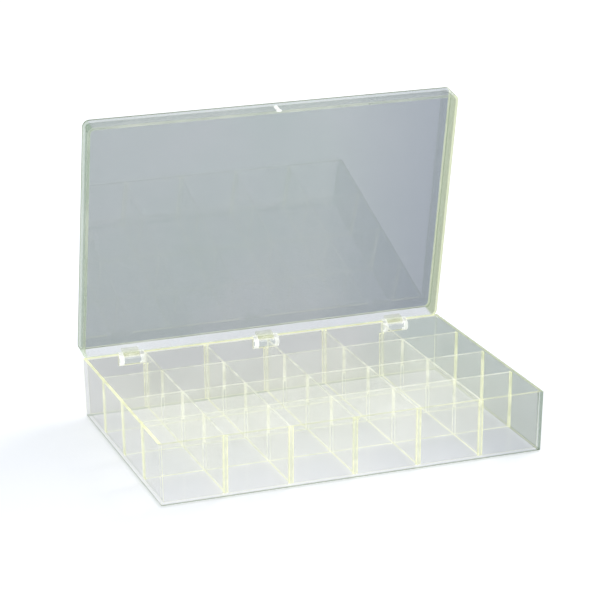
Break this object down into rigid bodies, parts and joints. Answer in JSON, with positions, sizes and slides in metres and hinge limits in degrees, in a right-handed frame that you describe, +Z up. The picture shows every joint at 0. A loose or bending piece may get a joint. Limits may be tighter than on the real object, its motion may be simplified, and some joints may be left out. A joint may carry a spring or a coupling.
{
  "type": "specimen box",
  "caption": "Clear plastic specimen box: a shallow tray split by slotted strips into square compartments, with a hinged lid standing open.",
  "frame": {"origin": "centre of the tray's underside", "axes": "+X to the right along the hinge line, -Y the front, +Z up"},
  "size_m": [0.28, 0.1995, 0.2264],
  "materials": {
    "tray_styrene": "clear, glossy, faintly yellow-green at the edges",
    "divider_styrene": "clear, glossy, faintly yellow-green at the edges",
    "lid_styrene": "clear, glossy, greyer through the pane",
    "hinge_styrene": "water-clear, glossy"
  },
  "bodies": {
    "tray": {"tray": "tray_styrene", "long_divider_1": "divider_styrene", "long_divider_2": "divider_styrene", "long_divider_3": "divider_styrene", "long_divider_4": "divider_styrene", "long_divider_5": "divider_styrene", "cross_divider_1": "divider_styrene", "cross_divider_2": "divider_styrene", "cross_divider_3": "divider_styrene", "hinge_bracket_left": "hinge_styrene", "hinge_bracket_middle": "hinge_styrene", "hinge_bracket_right": "hinge_styrene", "hinge_pin_left": "hinge_styrene", "hinge_pin_middle": "hinge_styrene", "hinge_pin_right": "hinge_styrene"},
    "lid": {"lid": "lid_styrene", "lid_knuckle_left": "hinge_styrene", "lid_knuckle_middle": "hinge_styrene", "lid_knuckle_right": "hinge_styrene", "lid_catch": "hinge_styrene"}
  },
  "joints": [
    {"name": "lid_hinge", "type": "hinge", "parent": "tray", "child": "lid", "pos_m": [0, 0.0912, 0.0435], "axis": [-1, 0, 0], "range_deg": [-79, 21]}
  ]
}
